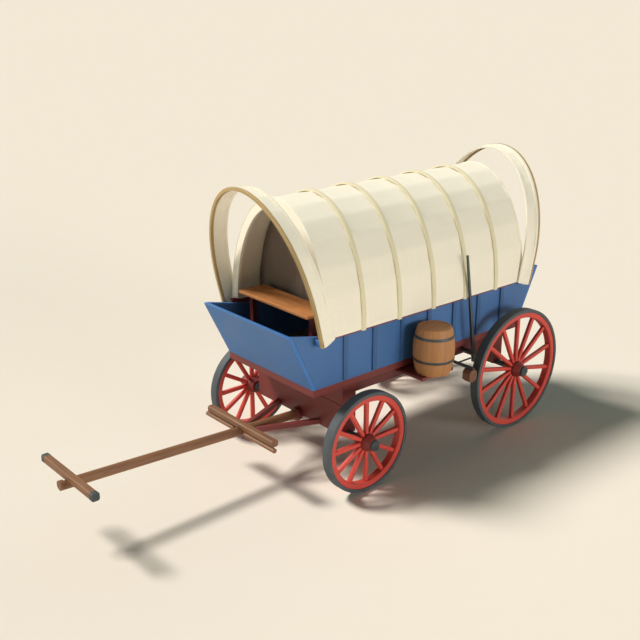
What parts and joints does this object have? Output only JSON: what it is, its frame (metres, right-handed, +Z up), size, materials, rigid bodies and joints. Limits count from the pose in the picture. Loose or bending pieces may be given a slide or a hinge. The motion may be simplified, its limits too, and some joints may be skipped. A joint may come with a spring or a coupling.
{
  "type": "covered wagon",
  "caption": "Horse-drawn covered wagon: canvas-topped box body on spoked wheels, steered front gear with tongue, doubletree and neck yoke, water barrel, brake.",
  "frame": {"origin": "bottom centre of the bounding box, on the ground the wagon stands on", "axes": "+Z up; +Y towards the tail, so the tongue points to -Y; +X towards the side that carries the barrel and the brake lever"},
  "size_m": [2.1164, 5.4872, 2.87],
  "materials": {
    "blue_paint": "painted wood, blue",
    "barn_red_paint": "painted wood, dark red",
    "wheel_red_paint": "painted wood, bright red",
    "dark_iron": "forged, dull black",
    "tyre_iron": "worn iron tyre",
    "canvas": "cotton duck, cream",
    "bow_wood": "oiled ash",
    "seat_wood": "varnished pine",
    "barrel_wood": "oak staves",
    "pole_wood": "oiled hickory",
    "floor_wood": "dark worn boards",
    "curtain_cloth": "dark canvas"
  },
  "bodies": {
    "wagon": {"bed_frame": "barn_red_paint", "floor_boards": "floor_wood", "side_near": "blue_paint", "side_far": "blue_paint", "front_board": "blue_paint", "rear_board": "blue_paint", "rail_near": "barn_red_paint", "rail_far": "barn_red_paint", "side_beam_near": "barn_red_paint", "side_beam_far": "barn_red_paint", "front_bolster": "barn_red_paint", "rear_bolster": "barn_red_paint", "rear_axle": "dark_iron", "reach_pole": "barn_red_paint", "cover": "canvas", "bow_1": "bow_wood", "bow_2": "bow_wood", "bow_3": "bow_wood", "bow_4": "bow_wood", "bow_5": "bow_wood", "front_bonnet": "canvas", "rear_bonnet": "canvas", "front_bow": "bow_wood", "rear_bow": "bow_wood", "curtain": "curtain_cloth", "seat_board": "seat_wood", "seat_post_near": "barn_red_paint", "seat_post_far": "barn_red_paint", "barrel_shelf": "barn_red_paint", "barrel": "barrel_wood", "barrel_hoop_upper": "dark_iron", "barrel_hoop_lower": "dark_iron", "brake_pin": "dark_iron", "brake_guide_near": "dark_iron", "brake_guide_far": "dark_iron"},
    "front_gear": {"front_axle_box": "barn_red_paint", "front_axle": "dark_iron", "kingpin": "dark_iron", "tongue": "pole_wood", "tongue_socket": "barn_red_paint", "hound_near": "barn_red_paint", "hound_far": "barn_red_paint"},
    "front_near_wheel": {"wheel_front_near": "wheel_red_paint", "tyre_front_near": "tyre_iron"},
    "front_far_wheel": {"wheel_front_far": "wheel_red_paint", "tyre_front_far": "tyre_iron"},
    "rear_near_wheel": {"wheel_rear_near": "wheel_red_paint", "tyre_rear_near": "tyre_iron"},
    "rear_far_wheel": {"wheel_rear_far": "wheel_red_paint", "tyre_rear_far": "tyre_iron"},
    "doubletree": {"doubletree": "pole_wood"},
    "singletree_near": {"singletree_near": "pole_wood"},
    "singletree_far": {"singletree_far": "pole_wood"},
    "neck_yoke": {"neck_yoke": "pole_wood"},
    "brake_lever": {"brake_lever": "dark_iron"},
    "brake_beam": {"brake_bar": "dark_iron", "brake_block_near": "pole_wood", "brake_block_far": "pole_wood"}
  },
  "joints": [
    {"name": "steering", "type": "hinge", "parent": "wagon", "child": "front_gear", "pos_m": [-0.03341, -0.0836, 0.8], "axis": [0, 0, 1], "range_deg": [-25, 25]},
    {"name": "front_near_spin", "type": "hinge", "parent": "front_gear", "child": "front_near_wheel", "pos_m": [0.85659, -0.0836, 0.5], "axis": [1, 0, 0], "continuous": true},
    {"name": "front_far_spin", "type": "hinge", "parent": "front_gear", "child": "front_far_wheel", "pos_m": [-0.92341, -0.0836, 0.5], "axis": [1, 0, 0], "continuous": true},
    {"name": "rear_near_spin", "type": "hinge", "parent": "wagon", "child": "rear_near_wheel", "pos_m": [0.85659, 2.0864, 0.657], "axis": [1, 0, 0], "continuous": true},
    {"name": "rear_far_spin", "type": "hinge", "parent": "wagon", "child": "rear_far_wheel", "pos_m": [-0.92341, 2.0864, 0.657], "axis": [1, 0, 0], "continuous": true},
    {"name": "doubletree_swing", "type": "hinge", "parent": "front_gear", "child": "doubletree", "pos_m": [-0.03341, -0.8686, 0.55404], "axis": [0, 0, 1], "range_deg": [-12, 12]},
    {"name": "singletree_near_swing", "type": "hinge", "parent": "doubletree", "child": "singletree_near", "pos_m": [0.28159, -0.8906, 0.55404], "axis": [0, 0, 1], "range_deg": [-15, 15]},
    {"name": "singletree_far_swing", "type": "hinge", "parent": "doubletree", "child": "singletree_far", "pos_m": [-0.34841, -0.8906, 0.55404], "axis": [0, 0, 1], "range_deg": [-15, 15]},
    {"name": "neck_yoke_swing", "type": "hinge", "parent": "front_gear", "child": "neck_yoke", "pos_m": [-0.03341, -2.6436, 0.63542], "axis": [0, 0, 1], "range_deg": [-20, 20]},
    {"name": "brake_lever_pull", "type": "hinge", "parent": "wagon", "child": "brake_lever", "pos_m": [0.72259, 1.5514, 0.93], "axis": [1, 0, 0], "range_deg": [0, 8.5]},
    {"name": "brake_slide", "type": "slide", "parent": "wagon", "child": "brake_beam", "axis": [0, 1, 0], "range_m": [0, 0.013]}
  ],
  "couplings": [
    {"joint": "brake_slide", "follows": "brake_lever_pull", "m_per_rad": 0.0673}
  ]
}
